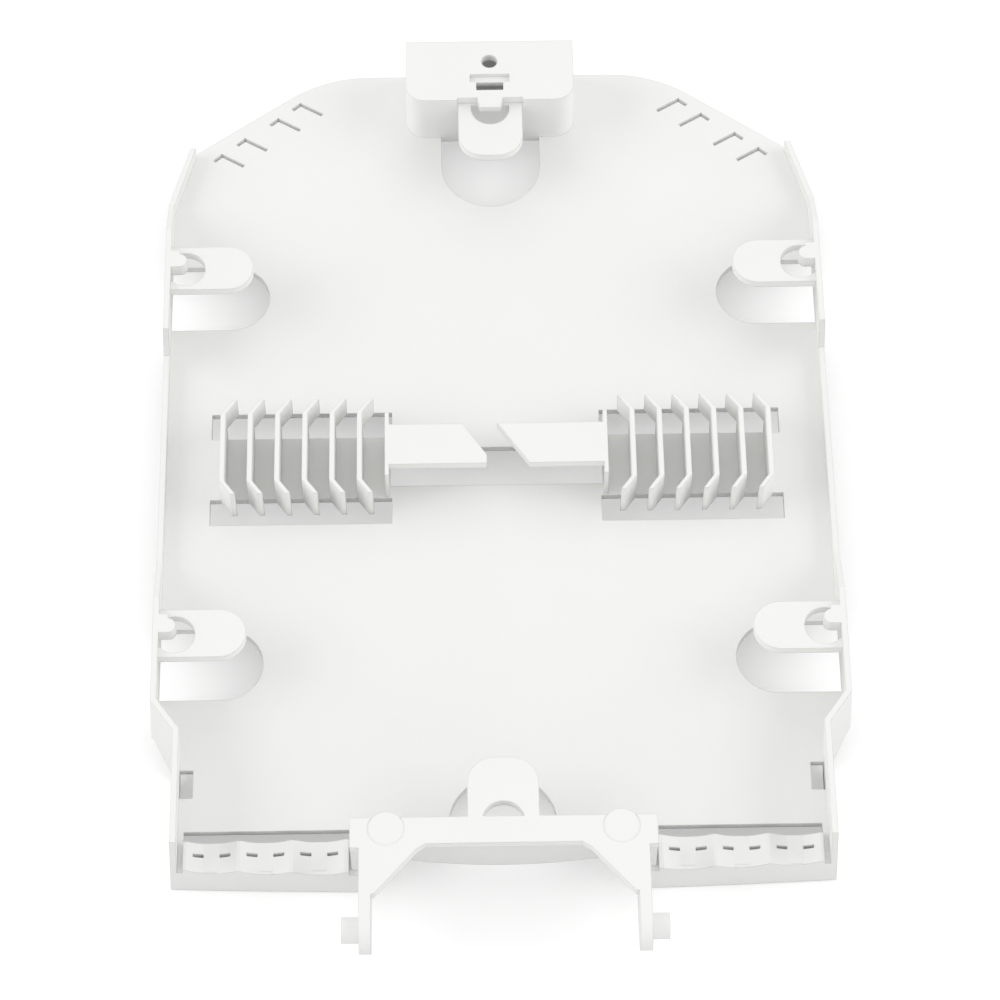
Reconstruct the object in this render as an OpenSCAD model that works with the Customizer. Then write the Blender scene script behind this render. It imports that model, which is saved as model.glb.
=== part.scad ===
// Fibre splice tray, moulded in one piece.
// Length runs along Y (hinge end at -Y), width along X, height along Z.
// The origin is the centre of the box round the tray, on its underside.

/* [Tray] */
// Width of the tray over its upper edges
tray_w = 111.4; // [108:0.2:116]
// Length of the floor, from the cable entries to the far edge
floor_l = 156; // [154:0.5:160]
// Thickness of the floor
floor_t = 1.2; // [1:0.1:2]
// Height of the floor's upper face over the lower edge of the front skirt
floor_z = 6.2; // [5:0.1:8]
// Height of the tall walls over the floor
rim_h = 10.8; // [9.6:0.1:13]

/* [Walls and tabs] */
// Thickness of the leaning side walls and lips
wall_t = 1.0; // [0.8:0.1:1.4]
// Thickness of the walls at the hinge end
end_t = 1.5; // [1.2:0.1:2]
// Height of the low side lips over the floor
lip_h = 2.6; // [1.5:0.1:4]
// Width of the four side retaining tabs
tab_w = 8.7; // [7:0.1:10]
// Thickness of every retaining tab
tab_t = 1.5; // [1.2:0.1:2]

/* [Splice holders] */
// Slots in each splice holder
slots = 6; // [4:1:6]
// Pitch of the holder fingers
pitch = 4.55; // [4:0.05:4.6]
// Thickness of one finger
finger_t = 0.85; // [0.6:0.05:1.2]
// Height of the fingers over the floor
finger_h = 7; // [5:0.1:8.5]

/* [Hinge] */
// Diameter of the hinge pins
pin_d = 4.1; // [3:0.1:5]
// Length of each pin outside its arm
pin_l = 2.7; // [2:0.1:4]
// Distance from the front edge out to the pin axis
pin_out = 13.6; // [12:0.1:18]

/* [Hidden] */
$fn = 64;
eps = 0.05;

half_w = tray_w / 2;
rim_z = floor_z + rim_h;
lip_z = floor_z + lip_h;
under_z = floor_z - floor_t; // underside of the floor
tab_z = rim_z - 1.0;       // upper face of the four side tabs
far_tab_z = rim_z - tab_t; // upper face of the tab on the end block
big = 400;
joint = 0.3;               // how far one form runs into the next

// All Y values below are measured from the front edge of the floor.
arm_r = 3.75;              // rounded end of a hinge arm
y_mid = (floor_l - pin_out - arm_r) / 2;

// side walls
neck_x = half_w - 3.75;    // outer face beside the cable entries, at the rim
neck_y = 19.7;
shoulder_y = 25.0;
wall_lean = 0.055;         // outward lean of the walls towards their foot
foot = wall_lean * rim_h;  // how far it brings them out at the floor
edge = foot - joint;       // the floor ends inside the foot of the walls
crown_x = half_w - 3.4;    // where the walls meet the far edge
crown_y = floor_l - 17;
chest_y = floor_l - 29.3;
upper_wall = [95.6, 116.1];
lower_wall_y = 44;
ramp_l = 11;

// far edge
flat_x = 21.5;             // half of the straight far edge
bend_x = 36;               // where the slanted far corner starts
bend_y = floor_l - 4.1;

// angled slots along the far corners, by their distance from the middle and the far edge
anchors = [[33.6, 5.8], [37.5, 9.1], [43.3, 13.4], [47.3, 16.8]];
anchor_l = [2.1, 4.8];
anchor_w = 0.6;

// end block
block_w = 29.4;
block_y = [floor_l - 13.4, floor_l - 0.5];
block_r = 3.3;
block_t = 1.6;
screw_d = 2.8;
screw_y = floor_l - 4.95;
hook_slot = [4.7, 2.1];    // slot for the cover's hook
hook_step = [6.9, 1.3];    // wider recess at its back
hook_step_t = 0.7;
hook_y = floor_l - 11.2;

// tabs and the openings below them
side_tab_x = 40.75;        // inner tip of a side tab
tab_ys = [37.6, 108.5];
well_ys = [37.1, 108.8];
well_r = 6.5;
well_x = 45;
notch_r = 3.3;
notch_x = half_w - 3.5;    // centre of a side tab's notch
end_tab_w = 11.2;
end_tab_r = 4.4;
far_tab_y = floor_l - 24.2;
near_tab_y = 14.1;
end_well_r = 8.6;
far_well_y = floor_l - 19.8;
near_well_y = 7.7;

// splice holders
comb_x = 18.2;             // wall at the inner end of a holder
comb_y = [68.3, 80.2];     // floor left standing under the fingers
relief_l = 4.9;            // openings in front of and behind it
relief_x = [17.5, 47.8];
finger_y = [67.9, 80.9];   // straight part of a finger
finger_tip = [1.9, 2.65];  // how far its free ends lean and reach
tip_gap = 2.4;             // clear height under its far end
bridge_t = 1.5;
bridge_y = [70.6, 78.4];
bridge_well_y = [70.6, 78.0];

// hinge end
front_bow = 1.15;          // how far the front edge bows out at its middle
front_wall_y = 3.8;        // inner face of the wall at the middle
wall_bow = [16, 1.2];      // half width and depth of its bowed outer face
mark_r = 2.9;              // round lobes in the top plate, a little lower than it
mark_at = [18.35, 1.95];
mark_t = 0.1;
cheek_x = 24;              // walls beside the middle
plate_y = -0.8;
arm_x = [20.7, 22.6];
arm_h = 2 * arm_r;
gusset_y = -9.4;           // how far the plate reaches out along the arms
gusset_x = 12.2;           // where its slanted edges leave the front
pin_z = rim_z - arm_r;

// cable entries
entry_x = [24.4, 50.6];
pocket = [49.4, 13.0, 2.1, 4.9];  // inner corner and size of a snap pocket
tie_gap_y = [5.0, 7.0];
seat_h = 0.9;
seat_r = 8.5;
seat_pitch = 8.5;
seat_x = 29.1;             // first of three seats on each side
tie_w = 1.7;
tie_t = 0.55;
tie_y = 2.8;
tie_off = 2.12;

function arc(cx, cy, r, a0, a1, n) =
    [for (i = [0:n]) let (a = a0 + (a1 - a0) * i / n) [cx + r * cos(a), cy + r * sin(a)]];

// right-hand edge of the floor, from the front to the far corner
side_line = [
    [neck_x + edge, 0], [neck_x + edge, neck_y], [half_w + edge, shoulder_y],
    [half_w + edge, chest_y], [crown_x + edge, crown_y]
];

// far edge of the right half, bent round between two straight lines
slant = atan2(bend_y - crown_y, crown_x + edge - bend_x);
bend_r = (bend_x - flat_x) / sin(slant);
function far_line() = arc(flat_x, floor_l - bend_r, bend_r, 90 - slant, 90, 14);

// bowed front edge
function front_y(x) = -front_bow * (1 - pow(x / neck_x, 2));
function front_line(x0, x1) =
    [for (i = [0:8]) let (x = x0 + (x1 - x0) * i / 8) [x, front_y(x)]];

function flip(p) = [for (i = [len(p) - 1:-1:0]) [-p[i][0], p[i][1]]];

module both_sides() {
    children();
    mirror([1, 0, 0]) children();
}

module floor_outline() {
    half = concat(side_line, far_line());
    polygon(concat(half, flip(half)));
}

// opening with one round end; it runs from x0 to the round end at x1
module round_slot(x0, x1, r) {
    translate([x1 - r, 0]) circle(r);
    translate([x0, -r]) square([x1 - r - x0, 2 * r]);
}

// narrow angled slot, cut where a cable tie is drawn through
module tie_anchor(at) {
    w = anchor_w;
    translate(at) {
        rotate(-40) translate([-w / 2, -w / 2]) square([anchor_l[0], w]);
        rotate(211) translate([-w / 2, -w / 2]) square([anchor_l[1], w]);
    }
}

module floor_cuts() {
    both_sides() {
        for (y = well_ys)
            translate([half_w + foot - wall_t, y]) mirror([1, 0])
                round_slot(0, half_w + foot - wall_t - well_x + well_r, well_r);
        // in front of and behind the splice fingers
        for (y = [comb_y[0] - relief_l, comb_y[1]])
            translate([relief_x[0], y]) square([relief_x[1] - relief_x[0], relief_l]);
        // slit of the cable entry
        translate([entry_x[0], tie_gap_y[0]])
            square([entry_x[1] - entry_x[0], tie_gap_y[1] - tie_gap_y[0]]);
        for (at = anchors) tie_anchor([at[0], floor_l - at[1]]);
        // pocket for the snap of the next tray
        translate([pocket[0], pocket[1]]) square([pocket[2], pocket[3]]);
    }
    // under the bridge
    translate([-comb_x + 0.4, bridge_well_y[0]])
        square([2 * comb_x - 0.8, bridge_well_y[1] - bridge_well_y[0]]);
    // under the two end tabs
    translate([0, far_well_y]) circle(end_well_r);
    translate([-end_well_r, far_well_y]) square([2 * end_well_r, block_y[0] - far_well_y]);
    translate([0, near_well_y]) circle(end_well_r);
    translate([-end_well_r, front_wall_y]) square([2 * end_well_r, near_well_y - front_wall_y]);
}

module floor_plate() {
    translate([0, 0, under_z]) linear_extrude(floor_t) difference() {
        floor_outline();
        floor_cuts();
        // inside of the end block and the bay between the hinge arms
        block_core(0);
        translate([-cheek_x + end_t, -1]) square([2 * (cheek_x - end_t), front_wall_y + 1 - end_t]);
    }
}

// side view of the walls, drawn from the front backwards
module side_view(points) {
    rotate([90, 0, 90]) linear_extrude(big, center = true) polygon(points);
}

// all that lies behind an outer face that leans outwards towards its foot
module leaning_face() {
    rotate([90, 0, 0]) linear_extrude(big, center = true) polygon([
        [-big, -1], [wall_lean * (rim_z + 1), -1], [-wall_lean, rim_z + 1], [-big, rim_z + 1]
    ]);
}

// all that lies behind the right-hand outer faces, each moved in by a distance
module side_mass(in) {
    shoulder_turn = atan2(half_w - neck_x, shoulder_y - neck_y);
    chest_turn = atan2(half_w - crown_x, crown_y - chest_y);
    intersection() {
        translate([neck_x - in, 0, 0]) leaning_face();
        translate([-big, -1, -1]) cube([2 * big, shoulder_y, rim_z + 2]);
    }
    intersection() {
        translate([half_w - in, 0, 0]) leaning_face();
        translate([neck_x, neck_y, 0]) rotate(-shoulder_turn)
            translate([-in, 0, 0]) leaning_face();
        translate([half_w, chest_y, 0]) rotate(chest_turn)
            translate([-in, 0, 0]) leaning_face();
        translate([-big, neck_y - wall_t, -1]) cube([2 * big, big, rim_z + 2]);
    }
}

// tall walls beside the tabs, joined by low lips; below the floor only by the entries
module side_walls() {
    low_end = lower_wall_y + ramp_l;
    up_end = upper_wall[1] + ramp_l;
    both_sides() difference() {
        intersection() {
            side_mass(0);
            side_view([
                [0, 0], [0, rim_z], [lower_wall_y, rim_z], [low_end, lip_z],
                [upper_wall[0], lip_z], [upper_wall[0], rim_z], [upper_wall[1], rim_z],
                [up_end, lip_z], [crown_y, lip_z], [crown_y, under_z],
                [shoulder_y - wall_t, under_z], [neck_y - wall_t, 0]
            ]);
        }
        side_mass(wall_t);
    }
}

// piece of the bowed front, back to y1
module front_piece(x0, x1, y1) {
    polygon(concat(front_line(x0, x1), [[x1, y1], [x0, y1]]));
}

// front skirt under the cable entries
module front_skirt() {
    both_sides() linear_extrude(floor_z - eps)
        front_piece(cheek_x - end_t, neck_x + edge, end_t);
}

// one side tab with its round notch and the catch above the notch
module side_tab(y) {
    translate([0, y, tab_z - tab_t]) linear_extrude(tab_t) difference() {
        translate([half_w - wall_t / 2, 0]) mirror([1, 0])
            round_slot(0, half_w - wall_t / 2 - side_tab_x, tab_w / 2);
        translate([notch_x, -0.2]) circle(notch_r);
    }
    translate([notch_x, y - 0.3, tab_z - tab_t]) {
        translate([1, 0, 0]) cube([1.8, 3.4, rim_z - tab_z + tab_t]);
        translate([1.1, 1.3, 0]) cylinder(h = rim_z - tab_z + tab_t, r = 1.3);
    }
}

module block_core(inset) {
    w = block_w / 2 - block_t + inset;
    translate([-w, block_y[0] + block_t])
        square([2 * w, block_y[1] - block_y[0] - 2 * block_t]);
}

module block_shape() {
    x = block_w / 2;
    difference() {
        translate([-x, block_y[0]]) square([2 * x, block_y[1] - block_y[0]]);
        for (s = [-1, 1]) translate([s * (x - block_r), block_y[0] + block_r]) difference() {
            translate([s > 0 ? 0 : -block_r - 1, -block_r - 1]) square(block_r + 1);
            circle(block_r);
        }
    }
}

module end_tab(len, z) {
    translate([0, 0, z - tab_t]) linear_extrude(tab_t) {
        x = end_tab_w / 2;
        r = end_tab_r;
        translate([-x, r]) square([2 * x, len - r]);
        translate([-x + r, 0]) square([2 * (x - r), r + eps]);
        for (s = [-1, 1]) translate([s * (x - r), r]) circle(r);
    }
}

module end_block() {
    difference() {
        union() {
            translate([0, 0, under_z]) linear_extrude(rim_z - under_z) block_shape();
            translate([0, far_tab_y, 0]) end_tab(block_y[0] - far_tab_y + eps, far_tab_z);
        }
        translate([0, 0, -1]) linear_extrude(rim_z - block_t + 1) block_core(0);
        // round notch of the tab
        translate([0, block_y[0] - 0.8, far_tab_z - tab_t - 1])
            linear_extrude(tab_t + 1.02) difference() {
                circle(notch_r);
                translate([-5, 0.8]) square([10, 5]);
            }
        // step in the upper edge over the tab
        translate([-end_tab_w / 2 - 0.1, block_y[0] - 1, far_tab_z])
            cube([end_tab_w + 0.2, 1.5, tab_t + 1]);
        // screw hole
        translate([0, screw_y, rim_z - 2 * block_t]) cylinder(h = 3 * block_t, d = screw_d);
        // slot for the cover's hook, with a wider recess at its back
        translate([-hook_slot[0] / 2, hook_y, rim_z - 2 * block_t])
            cube([hook_slot[0], hook_slot[1], 3 * block_t]);
        translate([-hook_step[0] / 2, hook_y + hook_slot[1] - joint, rim_z - hook_step_t])
            cube([hook_step[0], hook_step[1] + joint, 1]);
    }
    // catch over the notch, a little above the tab
    translate([0, block_y[0], far_tab_z + 0.2]) linear_extrude(tab_t - 0.2)
        polygon([[-2.2, 0.6], [-2.2, 0], [-1.7, -1.6], [1.7, -1.6], [2.2, 0], [2.2, 0.6]]);
}

module finger(x, lean) {
    t = finger_t / 2;
    y0 = finger_y[0];
    y1 = finger_y[1];
    dx = -finger_tip[0] * lean;
    dy = finger_tip[1];
    translate([x, 0, floor_z - eps]) linear_extrude(finger_h + eps) polygon([
        [t, y0], [t + dx, y0 - dy], [-t + dx, y0 - dy], [-t, y0], [-t, y1], [t, y1]
    ]);
    translate([x, 0, floor_z + tip_gap]) linear_extrude(finger_h - tip_gap) polygon([
        [-t, y1 - joint], [-t, y1], [-t + dx, y1 + dy], [t + dx, y1 + dy], [t, y1],
        [t, y1 - joint]
    ]);
}

module splice_holder() {
    for (i = [1:slots]) finger(comb_x + i * pitch, 1);
    translate([comb_x - 0.35, comb_y[0] + 0.2, floor_z - eps])
        cube([0.7, comb_y[1] - comb_y[0] + 0.4, finger_h + eps]);
}

// two leaves between the holders with a slanted gap to slip the fibres through
module bridge() {
    y0 = bridge_y[0];
    y1 = bridge_y[1];
    translate([0, 0, floor_z + finger_h - bridge_t]) linear_extrude(bridge_t) {
        polygon([[comb_x, y0], [comb_x, y1], [0.2, y1], [5.5, y0]]);
        polygon([[-comb_x, y0], [-1.6, y0], [-1.6, y0 + 1.6], [-5.6, y1], [-comb_x, y1]]);
    }
}

// raised bar with three hollow seats for the cable tubes
module entry_seats() {
    difference() {
        translate([0, 0, floor_z - joint]) linear_extrude(seat_h + joint)
            front_piece(entry_x[0], entry_x[1], tie_gap_y[0]);
        for (i = [0:2])
            translate([seat_x + i * seat_pitch, -big / 2, floor_z + seat_r - 0.1])
                rotate([-90, 0, 0]) cylinder(h = big, r = seat_r);
    }
}

module tie_holes() {
    for (i = [0:2], s = [-1, 1])
        translate([seat_x + i * seat_pitch + s * tie_off - tie_w / 2, tie_y - tie_t / 2, 0])
            cube([tie_w, tie_t, rim_z]);
}

// wall, top plate and near tab at the middle of the hinge end
module hinge_end() {
    // wall across the middle, its outer face bowed
    y1 = front_wall_y - end_t;
    translate([0, 0, under_z]) linear_extrude(rim_z - under_z) polygon(concat(
        [[-cheek_x, front_wall_y], [-cheek_x, y1]],
        [for (i = [-8:8]) [i * wall_bow[0] / 8, y1 - wall_bow[1] * (1 - pow(i / 8, 2))]],
        [[cheek_x, y1], [cheek_x, front_wall_y]]
    ));
    // walls beside it
    both_sides() translate([cheek_x - end_t, 0, 0])
        cube([end_t, tie_gap_y[1], floor_z + eps]);
    both_sides() translate([cheek_x - end_t, 0, floor_z - eps])
        cube([end_t, front_wall_y, rim_h + eps]);
    // top plate, its gussets and the arms
    translate([0, 0, rim_z - tab_t]) linear_extrude(tab_t) both_sides()
        polygon([
            [0, front_wall_y], [cheek_x, front_wall_y], [cheek_x, plate_y - 0.5],
            [arm_x[1], plate_y - 0.6], [arm_x[1], gusset_y], [arm_x[0] - 0.5, gusset_y + 0.2],
            [gusset_x + 1.4, plate_y - 0.9], [gusset_x, plate_y], [0, plate_y]
        ]);
    both_sides() {
        hinge_arm();
        translate([mark_at[0], mark_at[1], rim_z - tab_t]) cylinder(h = tab_t, r = mark_r);
    }
}

module hinge_arm() {
    t = arm_x[1] - arm_x[0];
    translate([arm_x[0], 0, 0]) rotate([90, 0, 90]) linear_extrude(t) {
        translate([-pin_out, pin_z]) circle(arm_r);
        translate([-pin_out, pin_z - arm_r]) square([pin_out + front_wall_y - 0.5, arm_h]);
    }
    translate([arm_x[0] + eps, -pin_out, pin_z]) rotate([0, 90, 0])
        cylinder(h = t + pin_l - eps, d = pin_d);
}

module near_tab() {
    difference() {
        translate([0, near_tab_y, 0]) rotate([0, 0, 180])
            end_tab(near_tab_y - front_wall_y + eps, rim_z);
        translate([0, front_wall_y - 0.7, rim_z - tab_t - 1])
            linear_extrude(tab_t + 2) difference() {
                circle(notch_r);
                translate([-5, -5.3]) square([10, 6]);
            }
    }
}

// the tops of the round lobes lie a little lower than the plate
module lobe_tops() {
    both_sides() translate([mark_at[0], mark_at[1], rim_z - mark_t])
        cylinder(h = 1, r = mark_r);
}

module splice_tray() {
    color("whitesmoke") translate([0, -y_mid, 0]) difference() {
        union() {
            floor_plate();
            side_walls();
            front_skirt();
            end_block();
            both_sides() {
                for (y = tab_ys) side_tab(y);
                splice_holder();
                entry_seats();
            }
            bridge();
            hinge_end();
            near_tab();
        }
        both_sides() tie_holes();
        lobe_tops();
    }
}

splice_tray();
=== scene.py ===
import math
import bpy
from mathutils import Matrix, Vector


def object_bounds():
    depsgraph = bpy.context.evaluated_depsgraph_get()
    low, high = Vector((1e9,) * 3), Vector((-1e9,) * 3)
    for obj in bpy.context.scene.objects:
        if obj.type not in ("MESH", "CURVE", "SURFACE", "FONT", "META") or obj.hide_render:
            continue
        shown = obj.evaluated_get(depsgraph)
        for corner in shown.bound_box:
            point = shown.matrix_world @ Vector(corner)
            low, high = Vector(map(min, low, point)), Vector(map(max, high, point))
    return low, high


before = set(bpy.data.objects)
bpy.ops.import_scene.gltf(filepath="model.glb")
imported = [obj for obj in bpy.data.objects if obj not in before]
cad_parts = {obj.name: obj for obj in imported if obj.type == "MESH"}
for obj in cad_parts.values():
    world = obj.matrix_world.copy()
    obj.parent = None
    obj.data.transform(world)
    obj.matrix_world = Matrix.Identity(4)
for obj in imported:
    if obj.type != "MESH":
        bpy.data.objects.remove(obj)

cad_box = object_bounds()


# ---------- tray: off-white moulded plastic ----------

FLOW_DARK = (0.800, 0.805, 0.785, 1)     # two tones of one batch, drawn out by the melt's flow
FLOW_LIGHT = (0.835, 0.838, 0.822, 1)
FLOW_SIZE = 38.0                         # patches about 25 mm across
SPARK_SIZE = 2600.0                      # spark-eroded mould grain, 0.4 mm
SPARK_DEPTH = 0.0001
SPARK_STRENGTH = 0.12
GLOSS_FROM, GLOSS_TO = 0.60, 0.70        # roughness, from satin to dull patches
EDGE_RADIUS = 0.00028                    # small radius that a mould leaves on every corner
EDGE_SAMPLES = 4


def material(name):
    """A new node material, with its nodes, its links, its shader and its output."""
    made = bpy.data.materials.new(name)
    made.use_nodes = True
    nodes = made.node_tree.nodes
    return made, nodes, made.node_tree.links, nodes["Principled BSDF"], nodes["Material Output"]


def tray_plastic():
    """Moulded plastic: flow mottling in tone and gloss, spark grain, eased edges."""
    made, nodes, links, shader, _ = material("tray plastic")
    place = nodes.new("ShaderNodeTexCoord")

    flow = nodes.new("ShaderNodeTexNoise")
    flow.inputs["Scale"].default_value = FLOW_SIZE
    flow.inputs["Detail"].default_value = 3.0
    links.new(place.outputs["Object"], flow.inputs["Vector"])
    tone = nodes.new("ShaderNodeValToRGB")
    tone.color_ramp.elements[0].color = FLOW_DARK
    tone.color_ramp.elements[1].color = FLOW_LIGHT
    links.new(flow.outputs["Fac"], tone.inputs["Fac"])
    links.new(tone.outputs["Color"], shader.inputs["Base Color"])
    gloss = nodes.new("ShaderNodeMapRange")
    gloss.inputs["To Min"].default_value = GLOSS_FROM
    gloss.inputs["To Max"].default_value = GLOSS_TO
    links.new(flow.outputs["Fac"], gloss.inputs["Value"])
    links.new(gloss.outputs["Result"], shader.inputs["Roughness"])

    edge = nodes.new("ShaderNodeBevel")
    edge.samples = EDGE_SAMPLES
    edge.inputs["Radius"].default_value = EDGE_RADIUS
    spark = nodes.new("ShaderNodeTexNoise")
    spark.inputs["Scale"].default_value = SPARK_SIZE
    spark.inputs["Detail"].default_value = 2.0
    links.new(place.outputs["Object"], spark.inputs["Vector"])
    grain = nodes.new("ShaderNodeBump")
    grain.inputs["Strength"].default_value = SPARK_STRENGTH
    grain.inputs["Distance"].default_value = SPARK_DEPTH
    links.new(spark.outputs["Fac"], grain.inputs["Height"])
    links.new(edge.outputs["Normal"], grain.inputs["Normal"])
    links.new(grain.outputs["Normal"], shader.inputs["Normal"])
    return made


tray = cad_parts["splice_tray"]
tray.data.materials.clear()
tray.data.materials.append(tray_plastic())


# ---------- table ----------

TABLE_SIZE = 6.0
TABLE_DROP = 0.0002                      # just below the tray's lowest edges
TABLE_PAINT = (0.74, 0.74, 0.74, 1)      # what the tray gets back from it
TABLE_SEEN = (0.64, 0.64, 0.64, 1)       # what the eye sees, with the glow added
TABLE_GLOW = 0.42
TABLE_ROUGHNESS = 0.9


def table_white():
    """Matt white table. To the eye it glows a little, so that it is white and keeps the shadow."""
    made, nodes, links, paint, output = material("table")
    paint.inputs["Base Color"].default_value = TABLE_PAINT
    paint.inputs["Roughness"].default_value = TABLE_ROUGHNESS
    seen = nodes.new("ShaderNodeBsdfDiffuse")
    seen.inputs["Color"].default_value = TABLE_SEEN
    glow = nodes.new("ShaderNodeEmission")
    glow.inputs["Strength"].default_value = TABLE_GLOW
    lit = nodes.new("ShaderNodeAddShader")
    links.new(seen.outputs["BSDF"], lit.inputs[0])
    links.new(glow.outputs["Emission"], lit.inputs[1])
    ray = nodes.new("ShaderNodeLightPath")
    pick = nodes.new("ShaderNodeMixShader")
    links.new(ray.outputs["Is Camera Ray"], pick.inputs["Fac"])
    links.new(paint.outputs["BSDF"], pick.inputs[1])
    links.new(lit.outputs["Shader"], pick.inputs[2])
    links.new(pick.outputs["Shader"], output.inputs["Surface"])
    return made


bpy.ops.mesh.primitive_plane_add(size=TABLE_SIZE, location=(0, 0, -TABLE_DROP))
table = bpy.context.object
table.name = "table"
table.data.materials.append(table_white())


# ---------- studio light ----------

SKY = 0.80                               # even light from all round
SIDE_POWER = 7.4                         # soft boxes left and right, lower than the camera
BACK_POWER = 2.1
FRONT_POWER = 0.30                       # small low light for the upright faces at the hinge end
BOX = 1.2                                # side of a soft box
SMALL_BOX = 0.35
SIDE_OUT, SIDE_UP = 1.3, 0.7
BACK_OUT, BACK_UP = 1.3, 0.8
FRONT_OUT, FRONT_UP = 0.55, 0.10
CENTRE = (0, 0, 0)
HINGE_END = (0, cad_box[0][1], 0)


def lamp(name, at, aim, size, power):
    """A square soft box that stands at one point and faces another."""
    light = bpy.data.lights.new(name, "AREA")
    light.shape = "SQUARE"
    light.size = size
    light.energy = power
    stand = bpy.data.objects.new(name, light)
    bpy.context.scene.collection.objects.link(stand)
    stand.location = at
    stand.rotation_euler = (Vector(aim) - Vector(at)).to_track_quat("-Z", "Y").to_euler()


lamp("left", (-SIDE_OUT, 0, SIDE_UP), CENTRE, BOX, SIDE_POWER)
lamp("right", (SIDE_OUT, 0, SIDE_UP), CENTRE, BOX, SIDE_POWER)
lamp("back", (0, BACK_OUT, BACK_UP), CENTRE, BOX, BACK_POWER)
lamp("front", (0, -FRONT_OUT, FRONT_UP), HINGE_END, SMALL_BOX, FRONT_POWER)

studio = bpy.data.worlds.new("studio")
bpy.context.scene.world = studio
studio.use_nodes = True
sky = studio.node_tree.nodes["Background"]
sky.inputs["Color"].default_value = (1, 1, 1, 1)
sky.inputs["Strength"].default_value = SKY


# ---------- camera ----------

ELEVATION = math.radians(59.0)
TURN = math.radians(0.93)
DISTANCE = 0.630
LOOK = Vector((0.0, -0.0017, 0.0062))    # close to the middle of the floor
FOCAL_LENGTH = 136.0                     # millimetres, as is the sensor
SENSOR = 36.0
SIDE_SHIFT = 0.003
FAR_LIMIT = 20

away = Vector((0, -math.cos(ELEVATION), math.sin(ELEVATION)))
away.rotate(Matrix.Rotation(-TURN, 3, "Z"))
lens = bpy.data.cameras.new("camera")
lens.lens = FOCAL_LENGTH
lens.sensor_width = SENSOR
lens.shift_x = SIDE_SHIFT
lens.clip_end = FAR_LIMIT
camera = bpy.data.objects.new("camera", lens)
bpy.context.scene.collection.objects.link(camera)
camera.location = LOOK + away * DISTANCE
camera.rotation_euler = (-away).to_track_quat("-Z", "Y").to_euler()
bpy.context.scene.camera = camera
bpy.context.scene.view_settings.view_transform = "Standard"
